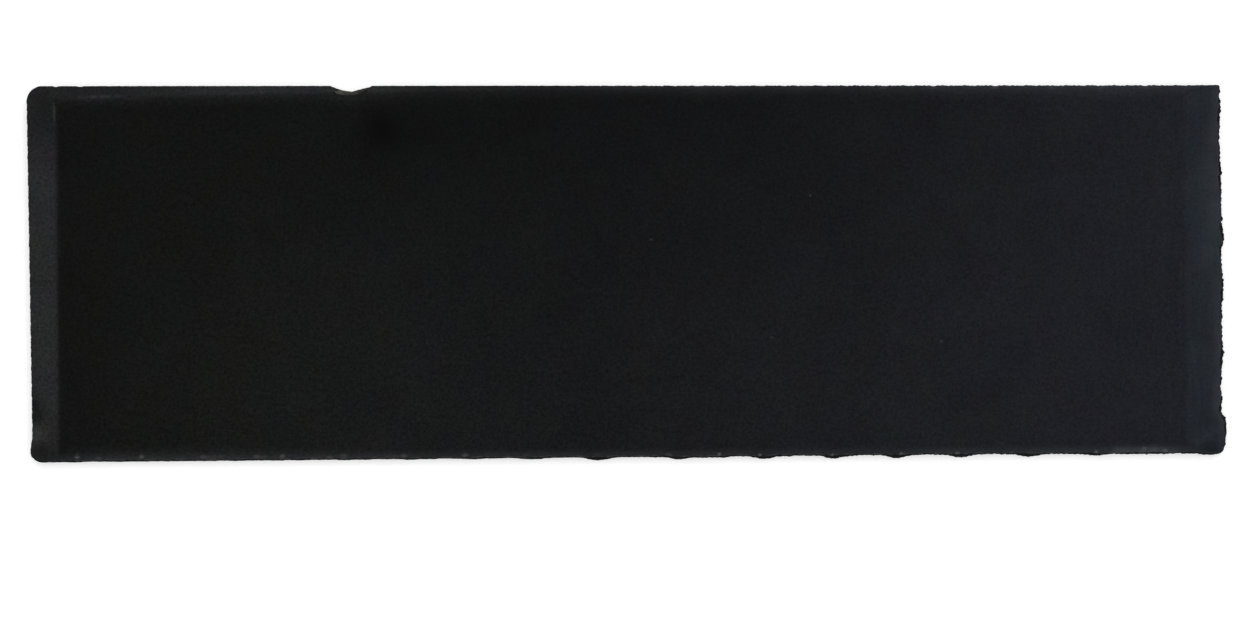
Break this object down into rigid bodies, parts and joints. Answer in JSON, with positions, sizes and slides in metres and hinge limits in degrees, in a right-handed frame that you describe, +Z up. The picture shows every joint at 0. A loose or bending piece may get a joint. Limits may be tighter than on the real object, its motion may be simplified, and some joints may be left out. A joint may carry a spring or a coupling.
{
  "type": "slate slab",
  "caption": "Long slab of black slate with a honed face inside a sawn margin, sawn edges, and hand-broken edges that step out bed by bed; stock for worktops, cladding or paving.",
  "frame": {"origin": "middle of the slab's bounding box, on its underside", "axes": "+X along the slab towards the broken end, +Y across it towards the sawn long side, +Z up through the honed face"},
  "size_m": [3.0014, 0.9414, 0.03],
  "materials": {
    "slate": "honed face, sawn margin, riven broken edges"
  },
  "bodies": {
    "root": {"slate_slab": "slate"}
  },
  "joints": []
}
